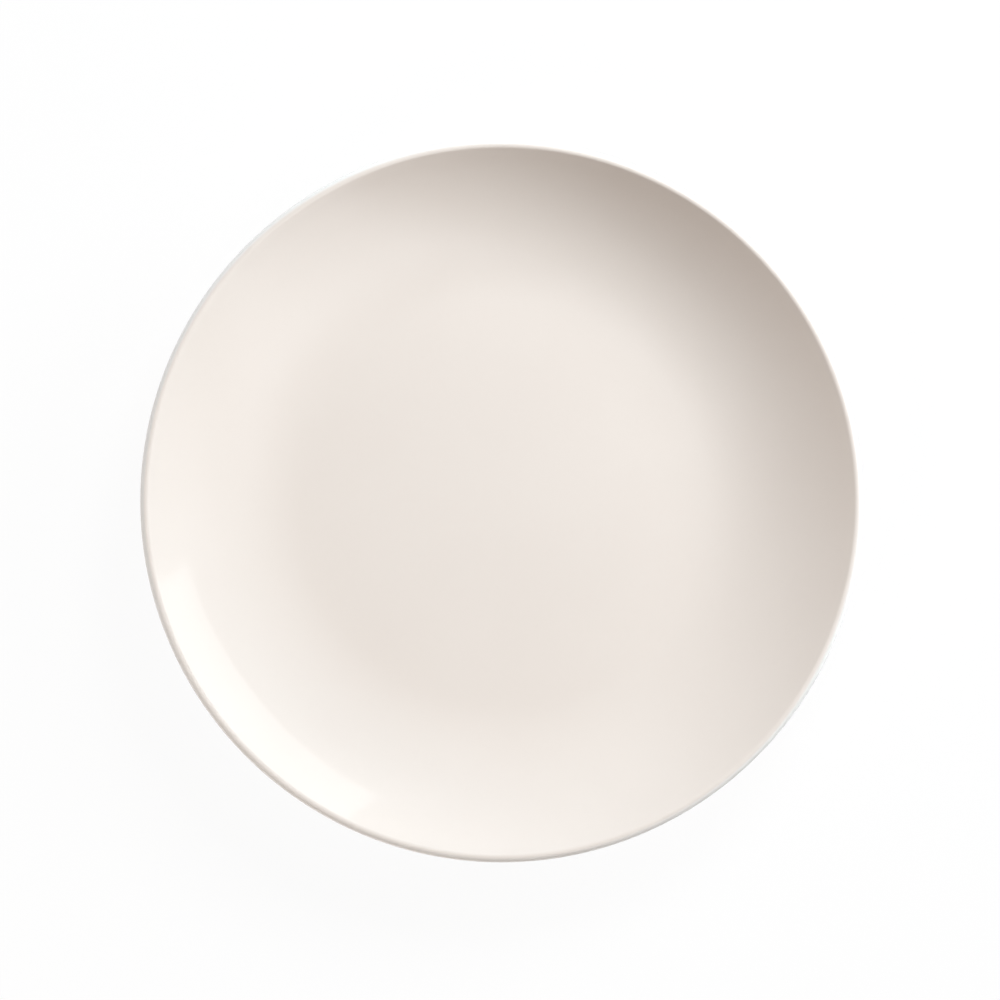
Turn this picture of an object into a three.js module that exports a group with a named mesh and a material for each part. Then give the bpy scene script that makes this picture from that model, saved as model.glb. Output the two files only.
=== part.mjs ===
// A small coupe plate: a clay body with a flat well and a wall that turns up to a rounded lip,
// a clay foot ring under the well, and the glaze coats that cover both, down to the bare tread.
// Millimetres, +Z up, with the origin at the centre of the plane that the foot ring stands on.
// Every piece is turned about the Z axis, so each is drawn as a half section: x is radius and y is height.

import * as THREE from 'three';

// Overall sizes, over the glaze
const PLATE_DIAMETER = 165;
const PLATE_HEIGHT = 20;

// Clay body
const WALL_WIDTH = 35.5; // from the outermost line of the lip to the edge of the flat well
const KNEE_RUN = 18; // from the edge of the well to where the lines of floor and wall would cross
const LIP_THICKNESS = 2;
const FLOOR_THICKNESS = 4; // also the wall's at the knee, from where it thins towards the lip

// Foot ring
const FOOT_INSET = 1.5; // from the edge of the well in to the ring's root
const FOOT_HEIGHT = 3;
const FOOT_ROOT_WIDTH = 7;
const FOOT_TREAD_WIDTH = 3.6;
const TREAD_ROUNDING = 0.5; // along each side of the tread's two edges

// Glaze
const GLAZE_THICKNESS = 0.25;
const DRY_FOOT_HEIGHT = 1; // bare clay above the table, where the glaze is wiped off
const GLAZE_POOL = 1.2; // reach of the thicker glaze in the corner at the foot ring's root

// Facets
const TURNING_STEPS = 72; // a multiple of 4, so that the plate is as wide along X as along Y
const CURVE_DIVISIONS = 2; // a round arc has twice as many straight pieces, any other curve as many

// Lip circle of the clay, with its rounding tangent to both sides of the wall
const lipRadius = LIP_THICKNESS / 2;
const lipCentre = new THREE.Vector2(
  PLATE_DIAMETER / 2 - GLAZE_THICKNESS - lipRadius,
  PLATE_HEIGHT - GLAZE_THICKNESS - lipRadius,
);

// Levels of the clay, and the radius where the floor turns up into the wall, inside and outside
const undersideLevel = FOOT_HEIGHT;
const floorLevel = undersideLevel + FLOOR_THICKNESS;
const wellRadius = PLATE_DIAMETER / 2 - WALL_WIDTH;

// A line up the wall from a knee, which just touches the lip circle on its upper (1) or lower (-1) side
function slopeFrom(kneeRadius, level, side) {
  const toLip = lipCentre.clone().sub(new THREE.Vector2(kneeRadius, level));
  return toLip.angle() + side * Math.asin(lipRadius / toLip.length());
}

// The slopes of face and back, and the curves between floor and wall, each tangent to both
const faceKneeRadius = wellRadius + KNEE_RUN;
const faceSlope = slopeFrom(faceKneeRadius, floorLevel, 1);
const faceCurve = KNEE_RUN / Math.tan(faceSlope / 2);
const backKneeRadius = faceKneeRadius + FLOOR_THICKNESS * Math.tan(faceSlope / 2);
const backSlope = slopeFrom(backKneeRadius, undersideLevel, -1);
const backCurve = (backKneeRadius - wellRadius) / Math.tan(backSlope / 2);

// The foot ring's two root corners, and how far its sides lean in for each unit of height
const footOuterRadius = wellRadius - FOOT_INSET;
const footInnerRadius = footOuterRadius - FOOT_ROOT_WIDTH;
const footLean = (FOOT_ROOT_WIDTH - FOOT_TREAD_WIDTH) / 2 / FOOT_HEIGHT;

// The face from the axis, over the lip's crest, to its outermost line, the given distance outside the clay
function traceFace(path, outset) {
  path.moveTo(0, floorLevel + outset);
  path.lineTo(wellRadius, floorLevel + outset);
  path.absarc(
    wellRadius, floorLevel + faceCurve, faceCurve - outset, -Math.PI / 2, faceSlope - Math.PI / 2, false,
  );
  path.absarc(lipCentre.x, lipCentre.y, lipRadius + outset, faceSlope + Math.PI / 2, Math.PI / 2, true);
  path.absarc(lipCentre.x, lipCentre.y, lipRadius + outset, Math.PI / 2, 0, true);
}

// The back from the outermost line of the lip to the flat underside, the given distance outside the clay
function traceBack(path, outset) {
  path.absarc(lipCentre.x, lipCentre.y, lipRadius + outset, 0, backSlope - Math.PI / 2, true);
  path.absarc(
    wellRadius, undersideLevel + backCurve, backCurve + outset, backSlope - Math.PI / 2, -Math.PI / 2, true,
  );
}

// One side of the foot ring: outward is 1 on the outer side and -1 on the inner side
function footSide(rootRadius, outward) {
  const down = new THREE.Vector2(-outward * footLean, -1).normalize();
  const out = new THREE.Vector2(-down.y * outward, down.x * outward);
  const onSide = (level) =>
    new THREE.Vector2(rootRadius - outward * footLean * (undersideLevel - level), level);
  const corner = new THREE.Vector2(
    rootRadius + outward * GLAZE_THICKNESS * (Math.hypot(footLean, 1) - footLean),
    undersideLevel - GLAZE_THICKNESS,
  );
  return {
    root: onSide(undersideLevel),
    dryLine: onSide(DRY_FOOT_HEIGHT),
    treadEdge: onSide(0),
    aboveTreadEdge: onSide(0).addScaledVector(down, -TREAD_ROUNDING),
    onTread: onSide(0).add(new THREE.Vector2(-outward * TREAD_ROUNDING, 0)),
    glazeCorner: corner,
    poolOnUnderside: corner.clone().add(new THREE.Vector2(outward * GLAZE_POOL, 0)),
    poolOnSide: corner.clone().addScaledVector(down, GLAZE_POOL),
    glazeEnd: onSide(DRY_FOOT_HEIGHT).addScaledVector(out, GLAZE_THICKNESS),
  };
}

const outerSide = footSide(footOuterRadius, 1);
const innerSide = footSide(footInnerRadius, -1);

const lineTo = (path, point) => path.lineTo(point.x, point.y);
const curveTo = (path, corner, point) => path.quadraticCurveTo(corner.x, corner.y, point.x, point.y);
const pointsOf = (path) => path.getPoints(CURVE_DIVISIONS);

// The surface of the glaze past the root corner: along the underside, round the pool, down to the dry line
function tracePool(path, side) {
  lineTo(path, side.poolOnUnderside);
  curveTo(path, side.glazeCorner, side.poolOnSide);
  lineTo(path, side.glazeEnd);
}

function clayBodySection() {
  const path = new THREE.Path();
  traceFace(path, 0);
  traceBack(path, 0);
  path.lineTo(0, undersideLevel);
  return pointsOf(path);
}

function footRingSection() {
  const path = new THREE.Path();
  path.moveTo(outerSide.root.x, outerSide.root.y);
  lineTo(path, outerSide.dryLine);
  lineTo(path, outerSide.aboveTreadEdge);
  curveTo(path, outerSide.treadEdge, outerSide.onTread);
  lineTo(path, innerSide.onTread);
  curveTo(path, innerSide.treadEdge, innerSide.aboveTreadEdge);
  lineTo(path, innerSide.dryLine);
  lineTo(path, innerSide.root);
  lineTo(path, outerSide.root);
  return pointsOf(path);
}

// A coat lies between a line on the clay and the glaze's own surface, which runs back the other way
function faceGlazeSection() {
  const clay = new THREE.Path();
  traceFace(clay, 0);
  const surface = new THREE.Path();
  traceFace(surface, GLAZE_THICKNESS);
  return [...pointsOf(surface), ...pointsOf(clay).reverse()];
}

function backGlazeSection() {
  const clay = new THREE.Path();
  traceBack(clay, 0);
  lineTo(clay, outerSide.root);
  lineTo(clay, outerSide.dryLine);
  const surface = new THREE.Path();
  traceBack(surface, GLAZE_THICKNESS);
  tracePool(surface, outerSide);
  const outline = [...pointsOf(surface), ...pointsOf(clay).reverse()];
  return [...outline, outline[0].clone()];
}

function recessGlazeSection() {
  const clay = new THREE.Path();
  clay.moveTo(0, undersideLevel);
  lineTo(clay, innerSide.root);
  lineTo(clay, innerSide.dryLine);
  const surface = new THREE.Path();
  surface.moveTo(0, undersideLevel - GLAZE_THICKNESS);
  tracePool(surface, innerSide);
  return [...pointsOf(clay), ...pointsOf(surface).reverse()];
}

// Colours and finishes
const clay = new THREE.MeshStandardMaterial({ color: '#e3d8c6', roughness: 0.85, metalness: 0 });
const glaze = new THREE.MeshStandardMaterial({ color: '#ebe3db', roughness: 0.12, metalness: 0 });

// Each section runs clockwise, and a lathe's faces point outwards when its points run the other way.
// The lathe turns about its own Y axis, so the piece is stood up to have its axis along Z.
function turnedPiece(name, section, material) {
  const geometry = new THREE.LatheGeometry(section.reverse(), TURNING_STEPS);
  const piece = new THREE.Mesh(geometry, material);
  piece.name = name;
  piece.rotation.x = Math.PI / 2;
  return piece;
}

const plate = new THREE.Group();
plate.add(
  turnedPiece('clay_body', clayBodySection(), clay),
  turnedPiece('foot_ring', footRingSection(), clay),
  turnedPiece('face_glaze', faceGlazeSection(), glaze),
  turnedPiece('back_glaze', backGlazeSection(), glaze),
  turnedPiece('recess_glaze', recessGlazeSection(), glaze),
);

export default plate;
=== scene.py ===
# %% [markdown]
# # A small coupe plate
#
# A coupe plate has no rim. A flat well turns up in one smooth curve into a plain rounded lip, and a low
# ring under the well is the foot that it stands on. The ware is pale clay, turned on a wheel, dipped in a
# warm off-white glaze, and wiped bare on the foot's tread so that it doesn't stick to the kiln shelf.
#
# The CAD model holds those pieces with plain facets. It is loaded first, and every piece is then turned
# again here on the same lines, finely enough for soft light to slide over it without a facet showing.

# %% Load the frame
import math
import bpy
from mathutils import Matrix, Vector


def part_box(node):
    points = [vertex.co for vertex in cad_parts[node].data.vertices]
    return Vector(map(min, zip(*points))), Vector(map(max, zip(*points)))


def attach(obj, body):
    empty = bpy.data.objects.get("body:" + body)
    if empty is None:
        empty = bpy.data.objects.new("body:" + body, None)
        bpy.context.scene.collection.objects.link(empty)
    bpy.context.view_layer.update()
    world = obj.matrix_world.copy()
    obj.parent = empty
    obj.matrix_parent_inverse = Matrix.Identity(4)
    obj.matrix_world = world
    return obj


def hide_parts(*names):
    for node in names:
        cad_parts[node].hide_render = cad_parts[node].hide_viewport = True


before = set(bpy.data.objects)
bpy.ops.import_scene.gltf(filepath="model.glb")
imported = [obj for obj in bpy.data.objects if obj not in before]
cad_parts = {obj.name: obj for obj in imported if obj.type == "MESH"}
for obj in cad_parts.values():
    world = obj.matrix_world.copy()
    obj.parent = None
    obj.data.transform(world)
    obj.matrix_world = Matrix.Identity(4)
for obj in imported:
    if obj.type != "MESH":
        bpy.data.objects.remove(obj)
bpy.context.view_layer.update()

from types import SimpleNamespace

import bpy
import numpy as np
from mathutils import Vector

scene = bpy.context.scene
print("CAD nodes:", sorted(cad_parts))

# %% [markdown]
# ## Sizes
#
# The boxes of the CAD pieces give the outside sizes, so those are read from the frame and stay right if the
# CAD model changes. The few sizes that a box can't give are named here, in millimetres.

# %% Sizes
MM = 0.001
body_low, body_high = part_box("clay_body")
face_low, face_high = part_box("face_glaze")
foot_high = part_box("foot_ring")[1]

PLATE_RADIUS = face_high.x
LIP_TOP = face_high.z
GLAZE = face_high.z - body_high.z
FLOOR_LEVEL = face_low.z
UNDERSIDE_LEVEL = body_low.z
FOOT_ROOT_RADIUS = foot_high.x

WELL_RADIUS = 47 * MM
KNEE_RUN = 18 * MM  # from the edge of the well to where the lines of floor and wall would cross
LIP_THICKNESS = 2 * MM
FOOT_ROOT_WIDTH = 7 * MM
FOOT_TREAD_WIDTH = 3.6 * MM
TREAD_ROUNDING = 0.5 * MM
DRY_FOOT_HEIGHT = 1 * MM  # bare clay above the table
GLAZE_POOL = 1.2 * MM  # reach of the thicker glaze in the corner at the foot's root
print(f"plate {2 * PLATE_RADIUS / MM:.1f} mm across, {LIP_TOP / MM:.1f} mm high")
print(f"glaze {GLAZE / MM:.2f} mm thick")

# %% [markdown]
# ## Lines of a half section
#
# Everything on the plate is turned, so each piece is known once its half section is drawn: radius to the
# right, height up. A point of a section is kept here as one complex number, radius + height * 1j. Adding
# moves it, and multiplying by a number of length 1 turns it, which makes arcs and slanted lines short to
# write.

# %% Arcs, straight lines and rounded corners
QUARTER = math.pi / 2
SAME_POINT = MM / 1000  # points closer than this are one point


def arc(centre, radius, start, stop, step):
    """Points on a circle between two angles, about so many degrees apart."""
    pieces = max(1, math.ceil(abs(math.degrees(stop - start)) / step))
    return centre + radius * np.exp(1j * np.linspace(start, stop, pieces + 1))


def straight(start, stop, pieces):
    return np.linspace(start, stop, pieces + 1)


def rounded(start, corner, stop, pieces):
    """A smooth bend from start to stop that pulls towards the corner."""
    t = np.linspace(0, 1, pieces + 1)
    return (1 - t) ** 2 * start + 2 * t * (1 - t) * corner + t ** 2 * stop


def joined(*runs):
    """One line through all the runs, without a point twice in a row."""
    points = np.concatenate(runs)
    return points[np.append(True, np.abs(np.diff(points)) > SAME_POINT)]


# %% [markdown]
# ## The wall
#
# The face is flat in the well, then an arc, then nearly straight up to the lip, which is a half round. The
# arc is what the light reads as a coupe plate, so it is worth doing exactly: the wall's slope is the angle
# at which a line from the knee, where floor and wall would cross, just touches the round of the lip. The
# back is the same line further out and a little steeper, so the wall thins from 4 mm at the knee to 2 mm at
# the lip.

# %% Slopes and curves of the wall
BEND_STEP = 0.75  # degrees between points on the wide bends
LIP_STEP = 3  # degrees between points round the lip
FLOOR_PIECES = 12
WALL_PIECES = 3

lip_radius = LIP_THICKNESS / 2
lip_centre = PLATE_RADIUS - GLAZE - lip_radius + 1j * (LIP_TOP - GLAZE - lip_radius)


def slope_from(knee, side):
    """Angle of the line from a knee that touches the lip's round on its upper (1) or lower (-1) side."""
    to_lip = lip_centre - knee
    return np.angle(to_lip) + side * math.asin(lip_radius / abs(to_lip))


face_knee = WELL_RADIUS + KNEE_RUN + 1j * FLOOR_LEVEL
face_slope = slope_from(face_knee, 1)
face_curve = KNEE_RUN / math.tan(face_slope / 2)
back_knee_radius = face_knee.real + (FLOOR_LEVEL - UNDERSIDE_LEVEL) * math.tan(face_slope / 2)
back_slope = slope_from(back_knee_radius + 1j * UNDERSIDE_LEVEL, -1)
back_curve = (back_knee_radius - WELL_RADIUS) / math.tan(back_slope / 2)


def face_line(outset):
    """From the axis over the lip to its outermost line, the given distance outside the clay."""
    level = 1j * (FLOOR_LEVEL + outset)
    floor = straight(level, WELL_RADIUS + level, FLOOR_PIECES)
    bend = WELL_RADIUS + 1j * (FLOOR_LEVEL + face_curve)
    curve = arc(bend, face_curve - outset, -QUARTER, face_slope - QUARTER, BEND_STEP)
    lip = arc(lip_centre, lip_radius + outset, face_slope + QUARTER, 0, LIP_STEP)
    return joined(floor, curve, straight(curve[-1], lip[0], WALL_PIECES), lip)


def back_line(outset):
    """From the lip's outermost line down the back to the flat underside, so far outside the clay."""
    lip = arc(lip_centre, lip_radius + outset, 0, back_slope - QUARTER, LIP_STEP)
    bend = WELL_RADIUS + 1j * (UNDERSIDE_LEVEL + back_curve)
    curve = arc(bend, back_curve + outset, back_slope - QUARTER, -QUARTER, BEND_STEP)
    return joined(lip, straight(lip[-1], curve[0], WALL_PIECES), curve)


inside, outside = np.degrees([face_slope, back_slope])
print(f"wall rises at {inside:.1f} degrees inside, {outside:.1f} outside")

# %% [markdown]
# ## The foot ring and where the glaze ends
#
# The foot ring tapers to a narrow tread whose edges are rubbed round. Its sides are glazed down to a line
# 1 mm above the table. In the corner at the root the glaze is thicker, because it runs and pools there in
# the kiln, and at the dry line it ends in a soft bead rather than a step.

# %% Sides of the foot ring
TREAD_PIECES = 8
POOL_PIECES = 10
BEAD_PIECES = 6
BEAD_LENGTH = 2 * GLAZE

foot_lean = (FOOT_ROOT_WIDTH - FOOT_TREAD_WIDTH) / 2 / UNDERSIDE_LEVEL


def foot_side(root_radius, outward):
    """The points along one side of the foot ring: outward is 1 on its outer side and -1 on its inner."""
    root = root_radius + 1j * UNDERSIDE_LEVEL
    drop = -outward * foot_lean - 1j
    down = drop / abs(drop)
    out = 1j * outward * down
    tread_edge = root + UNDERSIDE_LEVEL * drop
    dry_line = tread_edge - DRY_FOOT_HEIGHT * drop
    above_edge = tread_edge - TREAD_ROUNDING * down
    on_tread = tread_edge - outward * TREAD_ROUNDING
    corner = root + GLAZE * (outward * (abs(drop) - foot_lean) - 1j)
    bead_corner = dry_line + GLAZE * out
    return SimpleNamespace(
        root=root,
        down=down,
        dry_line=dry_line,
        tread=rounded(above_edge, tread_edge, on_tread, TREAD_PIECES),
        pool=rounded(corner + outward * GLAZE_POOL, corner, corner + GLAZE_POOL * down, POOL_PIECES),
        bead=rounded(bead_corner - BEAD_LENGTH * down, bead_corner, dry_line, BEAD_PIECES),
    )


outer_side = foot_side(FOOT_ROOT_RADIUS, 1)
inner_side = foot_side(FOOT_ROOT_RADIUS - FOOT_ROOT_WIDTH, -1)
tread_radii = inner_side.tread[-1].real, outer_side.tread[-1].real
print(f"tread from {tread_radii[0] / MM:.1f} to {tread_radii[1] / MM:.1f} mm radius")

# %% [markdown]
# ## Five half sections
#
# A section runs clockwise, so that the turned faces point outwards. A coat of glaze lies between its own
# surface and the line of the clay, which it follows back the other way.

# %% Sections of the clay and of the coats
axis_at_underside = np.array([1j * UNDERSIDE_LEVEL])
axis_under_glaze = np.array([1j * (UNDERSIDE_LEVEL - GLAZE)])

clay_body_section = joined(
    face_line(0), back_line(0), [outer_side.root, inner_side.root], axis_at_underside,
)
foot_ring_section = joined(
    [outer_side.root, outer_side.dry_line], outer_side.tread, inner_side.tread[::-1],
    [inner_side.dry_line, inner_side.root, outer_side.root],
)
face_glaze_section = joined(face_line(GLAZE), face_line(0)[::-1])
back_surface = joined(back_line(GLAZE), outer_side.pool, outer_side.bead)
back_on_clay = joined(back_line(0), [outer_side.root, outer_side.dry_line])
back_glaze_section = joined(back_surface, back_on_clay[::-1], back_surface[:1])
recess_on_clay = joined(axis_at_underside, [inner_side.root, inner_side.dry_line])
recess_surface = joined(axis_under_glaze, inner_side.pool, inner_side.bead)
recess_glaze_section = joined(recess_on_clay, recess_surface[::-1])
print("points in the face coat's section:", len(face_glaze_section))

# %% [markdown]
# ## Wiring nodes in Python
#
# The shapes and the finishes below are node trees. A tree can be wired by hand in Blender's editor, but in
# a script a formula is easier to follow when it looks like one. So one small class holds the output of a
# node and lends it Python's operators, and one method adds any other node: its type, its settings, then its
# sockets.

# %% Fields and trees
class Field:
    """A number that changes from point to point: an output socket of a node."""

    def __init__(self, wiring, socket):
        self.wiring = wiring
        self.socket = socket

    def __add__(self, other):
        return self.wiring.maths("ADD", self, other)

    def __sub__(self, other):
        return self.wiring.maths("SUBTRACT", self, other)

    def __rsub__(self, other):
        return self.wiring.maths("SUBTRACT", other, self)

    def __mul__(self, other):
        return self.wiring.maths("MULTIPLY", self, other)

    def __truediv__(self, other):
        return self.wiring.maths("DIVIDE", self, other)

    def __gt__(self, other):
        return self.wiring.maths("GREATER_THAN", self, other)

    __radd__ = __add__
    __rmul__ = __mul__


class Wiring:
    """A node tree that is being wired."""

    def __init__(self, tree):
        self.tree = tree

    def node(self, kind, settings=None, sockets=None, output=0):
        node = self.tree.nodes.new(kind)
        for name, value in (settings or {}).items():
            setattr(node, name, value)
        for key, value in (sockets or {}).items():
            if isinstance(value, Field):
                self.tree.links.new(value.socket, node.inputs[key])
            else:
                node.inputs[key].default_value = value
        return Field(self, node.outputs[output])

    def maths(self, operation, *values):
        return self.node("ShaderNodeMath", {"operation": operation}, dict(enumerate(values)))


# %% [markdown]
# ## A turning wheel in Geometry Nodes
#
# A Screw or Spin would turn a section too. Geometry Nodes are used because the turned shape then follows a
# rule that can be read: a grid has one row for each point of the section and one column for each step of
# the turn, and every grid point looks up its place on the section and is swung round the axis. The rule
# also lets a line wander as it goes round, which a plain Spin can't. A point's wander is a direction and a
# length, and a noise that is read round a circle, so that it meets itself, says how much of it is used.

# %% Build the turning wheel
WANDER_SCALE = 3
WANDER_DETAIL = 3


def turning_wheel():
    tree = bpy.data.node_groups.new("turning wheel", "GeometryNodeTree")
    for name, kind in (
        ("Section", "NodeSocketGeometry"),
        ("Turning steps", "NodeSocketInt"),
        ("Crease angle", "NodeSocketFloat"),
        ("Wander seed", "NodeSocketFloat"),
        ("Finish", "NodeSocketMaterial"),
    ):
        tree.interface.new_socket(name, in_out="INPUT", socket_type=kind)
    tree.interface.new_socket("Piece", in_out="OUTPUT", socket_type="NodeSocketGeometry")

    wheel = Wiring(tree)
    inputs = tree.nodes.new("NodeGroupInput")
    section, steps, crease, seed, finish = [Field(wheel, socket) for socket in inputs.outputs[:5]]

    count = wheel.node("GeometryNodeAttributeDomainSize", {"component": "MESH"}, {"Geometry": section})
    columns = steps + 1
    grid = wheel.node("GeometryNodeMeshGrid", {}, {"Vertices X": count, "Vertices Y": columns}, "Mesh")
    index = wheel.node("GeometryNodeInputIndex")
    row = wheel.maths("FLOOR", index / columns)
    angle = (index - row * columns) * math.tau / steps

    def looked_up(field):
        return wheel.node(
            "GeometryNodeSampleIndex", {"data_type": "FLOAT_VECTOR", "domain": "POINT"},
            {"Geometry": section, "Value": field, "Index": row},
        )

    place = looked_up(wheel.node("GeometryNodeInputPosition"))
    wander = looked_up(wheel.node(
        "GeometryNodeInputNamedAttribute", {"data_type": "FLOAT_VECTOR"}, {"Name": "wander"},
    ))
    round_the_axis = wheel.node(
        "ShaderNodeCombineXYZ", {}, {"X": wheel.maths("COSINE", angle), "Y": wheel.maths("SINE", angle)},
    )
    noise = wheel.node(
        "ShaderNodeTexNoise", {"noise_dimensions": "4D"},
        {"Vector": round_the_axis, "W": seed, "Scale": WANDER_SCALE, "Detail": WANDER_DETAIL},
    )
    wandered = wheel.node(
        "ShaderNodeVectorMath", {"operation": "MULTIPLY_ADD"}, {0: wander, 1: noise - 0.5, 2: place},
    )
    swung = wheel.node(
        "ShaderNodeVectorRotate", {"rotation_type": "Z_AXIS"}, {"Vector": wandered, "Angle": angle},
    )

    shape = wheel.node("GeometryNodeSetPosition", {}, {"Geometry": grid, "Position": swung})
    closed = wheel.node("GeometryNodeMergeByDistance", {}, {"Geometry": shape, "Distance": SAME_POINT})
    smooth = wheel.node(
        "GeometryNodeSetShadeSmooth", {"domain": "FACE"}, {"Geometry": closed, "Shade Smooth": True},
    )
    bend = wheel.node("GeometryNodeInputMeshEdgeAngle")
    creased = wheel.node(
        "GeometryNodeSetShadeSmooth", {"domain": "EDGE"},
        {"Geometry": smooth, "Selection": bend > crease, "Shade Smooth": False},
    )
    whole = wheel.node("GeometryNodeRealizeInstances", {}, {"Geometry": creased})
    finished = wheel.node("GeometryNodeSetMaterial", {}, {"Geometry": whole, "Material": finish})
    tree.links.new(finished.socket, tree.nodes.new("NodeGroupOutput").inputs[0])
    return tree


WHEEL = turning_wheel()
WHEEL_INPUTS = {
    item.name: item.identifier for item in WHEEL.interface.items_tree if item.in_out == "INPUT"
}
print("turning wheel:", len(WHEEL.nodes), "nodes")

# %% [markdown]
# ## Turning a piece
#
# The section goes onto the wheel as a mesh of loose points, the wheel is run, and its result is kept as a
# plain mesh. The volume inside the new mesh is printed as a test: it is the volume of the real piece only
# if the shell is closed and its faces point outwards.

# %% Turn a section into a piece
TURNING_STEPS = 288
CREASE = math.radians(40)


def volume_inside(mesh):
    mesh.calc_loop_triangles()
    triangles = np.empty(3 * len(mesh.loop_triangles), dtype=int)
    mesh.loop_triangles.foreach_get("vertices", triangles)
    places = np.empty(3 * len(mesh.vertices))
    mesh.vertices.foreach_get("co", places)
    a, b, c = places.reshape(-1, 3)[triangles.reshape(-1, 3)].transpose(1, 0, 2)
    return (a * np.cross(b, c)).sum() / 6


def turned(name, section, finish, wander=0, seed=0):
    drawn = bpy.data.meshes.new(name + " section")
    drawn.from_pydata([(p.real, 0, p.imag) for p in section], [], [])
    drift = wander * np.ones(len(section))
    spread = np.stack([drift.real, 0 * drift.real, drift.imag], axis=1)
    drawn.attributes.new("wander", "FLOAT_VECTOR", "POINT").data.foreach_set("vector", spread.ravel())
    piece = bpy.data.objects.new(name, drawn)
    scene.collection.objects.link(piece)

    wheel = piece.modifiers.new("turning wheel", "NODES")
    wheel.node_group = WHEEL
    wheel[WHEEL_INPUTS["Turning steps"]] = TURNING_STEPS
    wheel[WHEEL_INPUTS["Crease angle"]] = CREASE
    wheel[WHEEL_INPUTS["Wander seed"]] = float(seed)
    wheel[WHEEL_INPUTS["Finish"]] = finish
    on_wheel = piece.evaluated_get(bpy.context.evaluated_depsgraph_get())
    mesh = bpy.data.meshes.new_from_object(on_wheel)
    mesh.materials.pop(index=0)  # an empty slot that comes before the finish
    piece.modifiers.clear()
    piece.data = mesh
    bpy.data.meshes.remove(drawn)
    mesh.name = name
    volume = volume_inside(mesh)
    print(f"{name}: {len(mesh.loop_triangles)} triangles, {volume / MM ** 3 / 1000:.2f} cm3")
    return piece


# %% [markdown]
# ## Ivory glaze
#
# The glaze is a warm off-white glass. Close up it isn't one colour: it is a little uneven where the dip
# ran, and paler where it pools at the foot. Round the lip the colour is painted paler and greyer, which is
# painted light: it lightens the shaded outer side of the lip.
# Its surface is glossy with a very slight ripple, which is what keeps reflections on ware from looking like
# plastic. All of that is read from Object coordinates, so the coats share one finish and match where they
# meet.

# %% Make the ivory glaze
def new_finish(name):
    material = bpy.data.materials.new(name)
    material.use_nodes = True
    wiring = Wiring(material.node_tree)
    shader = material.node_tree.nodes["Principled BSDF"]
    return material, wiring, shader


def feed(shader, name, field):
    field.wiring.tree.links.new(field.socket, shader.inputs[name])


def ramped(field, low, high):
    """0 below low, 1 above high, and a smooth change between them."""
    return field.wiring.node(
        "ShaderNodeMapRange", {"interpolation_type": "SMOOTHSTEP"},
        {"Value": field, "From Min": low, "From Max": high},
    )


def axis_distance(wiring, at):
    """How far a place is from the axis that the plate is turned about."""
    flat = wiring.node("ShaderNodeVectorMath", {"operation": "MULTIPLY"}, {0: at, 1: (1, 1, 0)})
    return wiring.node("ShaderNodeVectorMath", {"operation": "LENGTH"}, {0: flat}, "Value")


def blended(wiring, mask, first, second):
    """One colour where the mask is 0 and the other where it is 1. Sockets 6 and 7 take the colours."""
    return wiring.node("ShaderNodeMix", {"data_type": "RGBA"}, {0: mask, 6: first, 7: second}, 2)


def patches(wiring, at, scale, detail):
    """Soft random patches, about so many to a metre, with finer ones in them as the detail grows."""
    return wiring.node("ShaderNodeTexNoise", {}, {"Vector": at, "Scale": scale, "Detail": detail})


IVORY = (0.83, 0.77, 0.71, 1)
IVORY_DEEP = (0.80, 0.735, 0.675, 1)
# Painted light: a paler, greyer colour round the lip that lightens the lip's shaded outer side.
LIP_PAINTED_LIGHTER = (0.90, 0.895, 0.87, 1)
IVORY_POOL = (0.845, 0.80, 0.745, 1)
PALE_LIP_STARTS = PLATE_RADIUS - 1.3 * MM
PALE_LIP_FULL = PLATE_RADIUS - 0.5 * MM
CLOUDS_PER_METRE = 28
SPECKS_PER_METRE = 900
RIPPLES_PER_METRE = 70
GLOSS = 0.055
GLASS_IOR = 1.5
RIPPLE_HEIGHT = 0.4 * MM
RIPPLE_SHARE = 0.12


def ivory_glaze():
    material, glaze, shader = new_finish("dipped_ivory")
    at = glaze.node("ShaderNodeTexCoord", output="Object")
    height = glaze.node("ShaderNodeSeparateXYZ", {}, {"Vector": at}, "Z")
    cloud = patches(glaze, at, CLOUDS_PER_METRE, 3)
    speck = patches(glaze, at, SPECKS_PER_METRE, 2)
    ripple = patches(glaze, at, RIPPLES_PER_METRE, 2)

    uneven = ramped(cloud, 0.35, 0.75) * 0.35 + ramped(speck, 0.55, 0.8) * 0.15
    lip = ramped(axis_distance(glaze, at), PALE_LIP_STARTS, PALE_LIP_FULL)
    pooled = 1 - ramped(height, UNDERSIDE_LEVEL - GLAZE_POOL, UNDERSIDE_LEVEL)
    colour = blended(glaze, uneven, IVORY, IVORY_DEEP)
    # The lip is painted paler and greyer here: painted light on its shaded outer side.
    colour = blended(glaze, lip * (0.65 + cloud * 0.5), colour, LIP_PAINTED_LIGHTER)
    colour = blended(glaze, pooled * 0.6, colour, IVORY_POOL)
    feed(shader, "Base Color", colour)
    feed(shader, "Roughness", GLOSS + ramped(cloud, 0.3, 0.7) * 0.03 + lip * 0.04)
    bump = glaze.node(
        "ShaderNodeBump", {},
        {"Height": ripple + speck * 0.05, "Strength": RIPPLE_SHARE, "Distance": RIPPLE_HEIGHT},
    )
    feed(shader, "Normal", bump)
    shader.inputs["IOR"].default_value = GLASS_IOR
    return material


IVORY_GLAZE = ivory_glaze()
print("ivory glaze:", len(IVORY_GLAZE.node_tree.nodes), "nodes")

# %% [markdown]
# ## Fired clay
#
# Bare clay shows only on the foot's tread. It is matt and a little grainy, with darker grains of iron, and
# the tread itself is ground smooth after firing, so it is paler and has fine rings from the grinding wheel.

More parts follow.
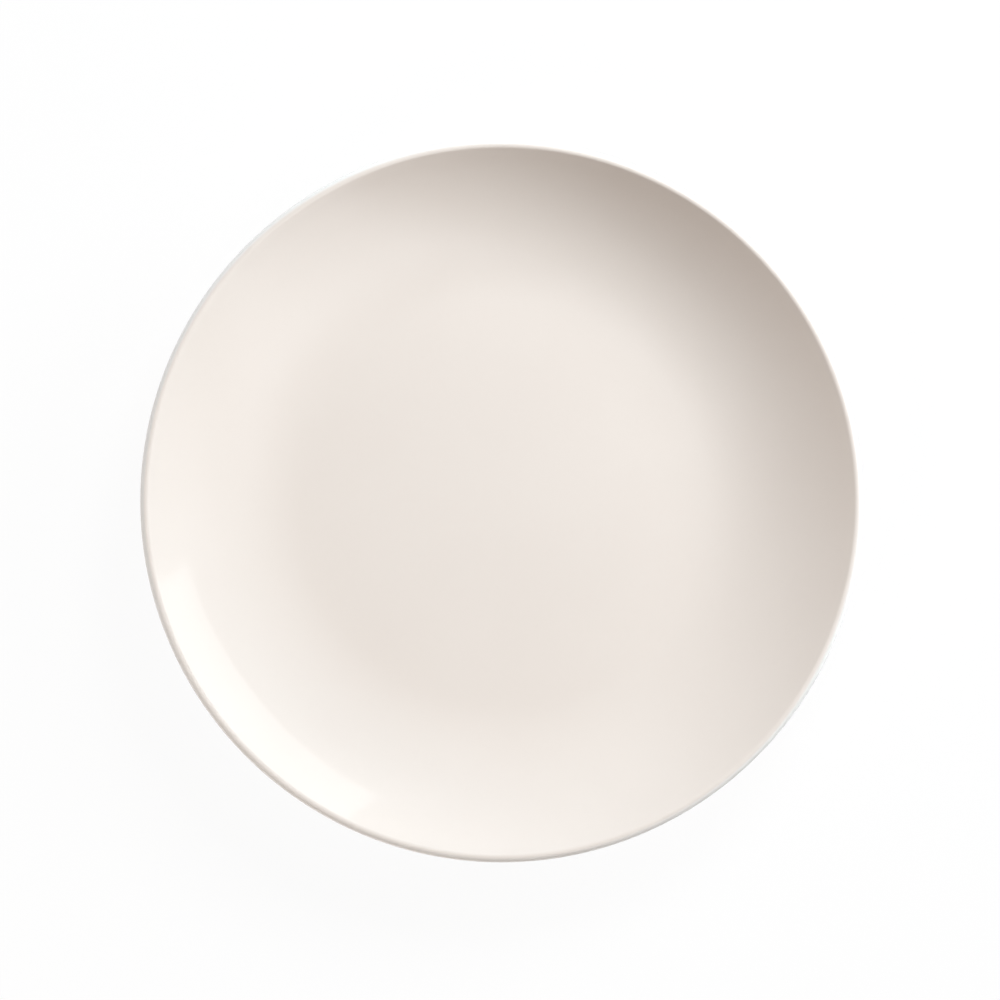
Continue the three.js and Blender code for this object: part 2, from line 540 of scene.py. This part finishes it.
# %% Make the fired clay
CLAY = (0.77, 0.69, 0.57, 1)
CLAY_DARK = (0.62, 0.52, 0.39, 1)
CLAY_GROUND = (0.80, 0.74, 0.64, 1)
CLAY_IRON = (0.30, 0.19, 0.11, 1)
GROUND_BELOW = 0.02 * MM
UNGROUND_ABOVE = 0.12 * MM
BLOTCHES_PER_METRE = 120
GRAINS_PER_METRE = 2600
IRON_SPOTS_PER_METRE = 700
RINGS_PER_METRE = 6000
GRAIN_HEIGHT = 0.06 * MM
GRAIN_SHARE = 0.5


def fired_clay():
    material, clay, shader = new_finish("bare_clay")
    at = clay.node("ShaderNodeTexCoord", output="Object")
    height = clay.node("ShaderNodeSeparateXYZ", {}, {"Vector": at}, "Z")
    radius = axis_distance(clay, at)
    blotch = patches(clay, at, BLOTCHES_PER_METRE, 4)
    grain = clay.node(
        "ShaderNodeTexNoise", {},
        {"Vector": at, "Scale": GRAINS_PER_METRE, "Detail": 3, "Roughness": 0.7},
    )
    iron = clay.node("ShaderNodeTexVoronoi", {}, {"Vector": at, "Scale": IRON_SPOTS_PER_METRE}, "Distance")
    rings = clay.node(
        "ShaderNodeTexNoise", {"noise_dimensions": "1D"},
        {"W": radius, "Scale": RINGS_PER_METRE, "Detail": 2},
    )

    ground = 1 - ramped(height, GROUND_BELOW, UNGROUND_ABOVE)
    uneven = ramped(blotch, 0.4, 0.7) * 0.5 + ramped(grain, 0.5, 0.8) * 0.3
    colour = blended(clay, uneven, CLAY, CLAY_DARK)
    colour = blended(clay, ground * (0.45 + rings * 0.4), colour, CLAY_GROUND)
    colour = blended(clay, (1 - ramped(iron, 0.1, 0.2)) * 0.7, colour, CLAY_IRON)
    feed(shader, "Base Color", colour)
    feed(shader, "Roughness", 0.9 - ground * 0.25 - grain * 0.1)
    relief = grain * (1 - ground * 0.6) + rings * ground * 0.5
    bump = clay.node(
        "ShaderNodeBump", {}, {"Height": relief, "Strength": GRAIN_SHARE, "Distance": GRAIN_HEIGHT},
    )
    feed(shader, "Normal", bump)
    return material


FIRED_CLAY = fired_clay()
print("fired clay:", len(FIRED_CLAY.node_tree.nodes), "nodes")

# %% [markdown]
# ## Turn the five pieces
#
# Each piece takes the place of the CAD node of the same shape and rides on the part's one body. Where a
# coat is wiped off the foot, its edge isn't a perfect circle on real ware, so the points there may wander
# up and down the side of the foot.

# %% Turn, place and name the pieces
DRY_LINE_WANDER = 0.9 * MM


def wiped_edge(section, side):
    """How far each point of a coat may slide down the foot: none at the pool, most at the dry line."""
    share = (side.pool[-1].imag - section.imag) / (side.pool[-1].imag - side.dry_line.imag)
    return DRY_LINE_WANDER * np.clip(share, 0, 1) * side.down


back_edge = wiped_edge(back_glaze_section, outer_side)
recess_edge = wiped_edge(recess_glaze_section, inner_side)
pieces = {
    "clay_body": turned("clay_plate", clay_body_section, FIRED_CLAY),
    "foot_ring": turned("clay_foot", foot_ring_section, FIRED_CLAY),
    "face_glaze": turned("glaze_on_face", face_glaze_section, IVORY_GLAZE),
    "back_glaze": turned("glaze_on_back", back_glaze_section, IVORY_GLAZE, wander=back_edge, seed=3),
    "recess_glaze": turned(
        "glaze_in_recess", recess_glaze_section, IVORY_GLAZE, wander=recess_edge, seed=8,
    ),
}
for node, piece in pieces.items():
    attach(piece, "root")
    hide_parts(node)

# %% [markdown]
# ## Floor
#
# The plate is shown on plain white. The floor is white paint that takes the plate's shadow, and for rays
# that show the floor in the picture or in a reflection most of it is an even white, so that the shadow
# stays faint. Under the plate there is less of the even white, and the paint's own shadow makes the plate
# stand on the floor.

# %% Lay the floor
FLOOR_HALF_WIDTH = 12
FLOOR_PAINT = (0.9, 0.9, 0.9, 1)
FLOOR_EVENNESS = 0.94
EVENNESS_UNDER_PLATE = 0.4
SHADED_RADIUS = 0.5 * PLATE_RADIUS


def pale_floor():
    material = bpy.data.materials.new("pale_floor")
    material.use_nodes = True
    floor = Wiring(material.node_tree)
    shown = [
        floor.node("ShaderNodeLightPath", output=name)
        for name in ("Is Camera Ray", "Is Glossy Ray", "Is Transmission Ray")
    ]
    at = floor.node("ShaderNodeTexCoord", output="Object")
    open_floor = ramped(axis_distance(floor, at), SHADED_RADIUS, PLATE_RADIUS)
    evenness = EVENNESS_UNDER_PLATE + open_floor * (FLOOR_EVENNESS - EVENNESS_UNDER_PLATE)
    paint = floor.node("ShaderNodeBsdfDiffuse", {}, {"Color": FLOOR_PAINT})
    white = floor.node("ShaderNodeEmission", {}, {"Color": (1, 1, 1, 1), "Strength": 1})
    share = floor.maths("MINIMUM", sum(shown[1:], shown[0]), 1) * evenness
    mixed = floor.node("ShaderNodeMixShader", {}, {0: share, 1: paint, 2: white})
    floor.tree.links.new(mixed.socket, floor.tree.nodes["Material Output"].inputs["Surface"])
    return material


floor_mesh = bpy.data.meshes.new("floor")
floor_mesh.from_pydata(
    [(x * FLOOR_HALF_WIDTH, y * FLOOR_HALF_WIDTH, 0) for x, y in ((-1, -1), (1, -1), (1, 1), (-1, 1))],
    [], [(0, 1, 2, 3)],
)
floor_mesh.materials.append(pale_floor())
floor = bpy.data.objects.new("floor", floor_mesh)
scene.collection.objects.link(floor)
print("floor:", 2 * FLOOR_HALF_WIDTH, "m square")

# %% [markdown]
# ## Studio light
#
# The plate's form is shaded by four soft panels. Two stand at the upper right and give most of the light, a
# warm one faces them from the lower left, and a low one at the upper left only grazes the well. A glossy
# plate shows every edge of a panel that it can see, so these four are kept out of reflections, as lamps
# behind large cloths would be. What it does show is two cards, which light nothing. A wide one, low at the
# upper right, is reflected as the bright crescent on the far wall of the dish. A fainter, tall one at the
# lower right fades out towards its edges and is only a soft gleam on the wall at the upper left.

# %% Hang the lights
REACH = 0.8
COOL = (0.93, 0.965, 1)
WARM = (1, 0.9, 0.84)
FADED_EDGE = 0.3  # as a share of the panel's width or height
WORLD_LEVEL = 0.05


def softbox(name, azimuth, elevation, width, height, radiance, tint):
    """A panel of light that faces the plate. Its place and size are the angles that the plate sees."""
    e, a = math.radians(elevation), math.radians(azimuth)
    way = Vector((math.cos(e) * math.cos(a), math.cos(e) * math.sin(a), math.sin(e)))
    lamp = bpy.data.lights.new(name, "AREA")
    lamp.shape = "RECTANGLE"
    lamp.size = 2 * REACH * math.tan(math.radians(width / 2))
    lamp.size_y = 2 * REACH * math.tan(math.radians(height / 2))
    lamp.energy = radiance * math.pi * lamp.size * lamp.size_y
    lamp.color = tint
    panel = bpy.data.objects.new(name, lamp)
    panel.location = way * REACH
    panel.rotation_euler = way.to_track_quat("Z", "Y").to_euler()
    panel.visible_camera = False
    scene.collection.objects.link(panel)
    return panel


def fade_out(lamp):
    """Dim a panel towards its four edges, so that its reflection has no outline."""
    lamp.use_nodes = True
    wiring = Wiring(lamp.node_tree)
    place = wiring.node("ShaderNodeNewGeometry", output="Parametric")
    across = wiring.node("ShaderNodeSeparateXYZ", {}, {"Vector": place}, "X")
    upward = wiring.node("ShaderNodeSeparateXYZ", {}, {"Vector": place}, "Y")
    from_sides = ramped(across, 0, FADED_EDGE) * ramped(1 - across, 0, FADED_EDGE)
    from_ends = ramped(upward, 0, FADED_EDGE) * ramped(1 - upward, 0, FADED_EDGE)
    feed(lamp.node_tree.nodes["Emission"], "Strength", from_sides * from_ends)


# Azimuth from +X towards +Y, elevation, width and height in degrees, then radiance and tint
panels = [
    softbox("side_light", 64, 39, 22, 22, 17.7, COOL),
    softbox("right_light", 26, 24, 30, 18, 14.6, COOL),
    softbox("left_light", 145, 6, 36, 10, 5, COOL),
    softbox("front_light", 233, 32, 24, 18, 11.1, WARM),
]
for panel in panels:
    panel.visible_glossy = False
low_card = softbox("low_card", 39, 22.8, 47.5, 33.6, 1.5, COOL)
low_card.visible_diffuse = False
tall_card = softbox("tall_card", 311, 45, 42, 79, 0.97, COOL)
tall_card.visible_diffuse = False
fade_out(tall_card.data)

world = bpy.data.worlds.new("studio")
world.use_nodes = True
world.node_tree.nodes["Background"].inputs["Color"].default_value = (1, 1, 1, 1)
world.node_tree.nodes["Background"].inputs["Strength"].default_value = WORLD_LEVEL
scene.world = world
scene.view_settings.view_transform = "Standard"

# %% [markdown]
# ## Camera
#
# The photograph looks straight down, from far enough away that the wall shows hardly any perspective. A
# long lens is raised until the plate is as wide in the picture as in the photograph, and slid until it is
# in the same place.

# %% Place the camera
PICTURE_SIZE = 1000
PLATE_RADIUS_IN_PICTURE = 361.3
PLATE_CENTRE_IN_PICTURE = (501.5, 501.1)
LENS = 135
SENSOR = 36

camera_data = bpy.data.cameras.new("camera")
camera_data.lens = LENS
camera_data.sensor_width = SENSOR
camera = bpy.data.objects.new("camera", camera_data)
per_pixel = PLATE_RADIUS / PLATE_RADIUS_IN_PICTURE
camera.location = (
    (PICTURE_SIZE / 2 - PLATE_CENTRE_IN_PICTURE[0]) * per_pixel,
    (PLATE_CENTRE_IN_PICTURE[1] - PICTURE_SIZE / 2) * per_pixel,
    lip_centre.imag + LENS / SENSOR * PICTURE_SIZE * per_pixel,
)
scene.collection.objects.link(camera)
scene.camera = camera
print(f"camera {camera.location.z:.3f} m above the table")
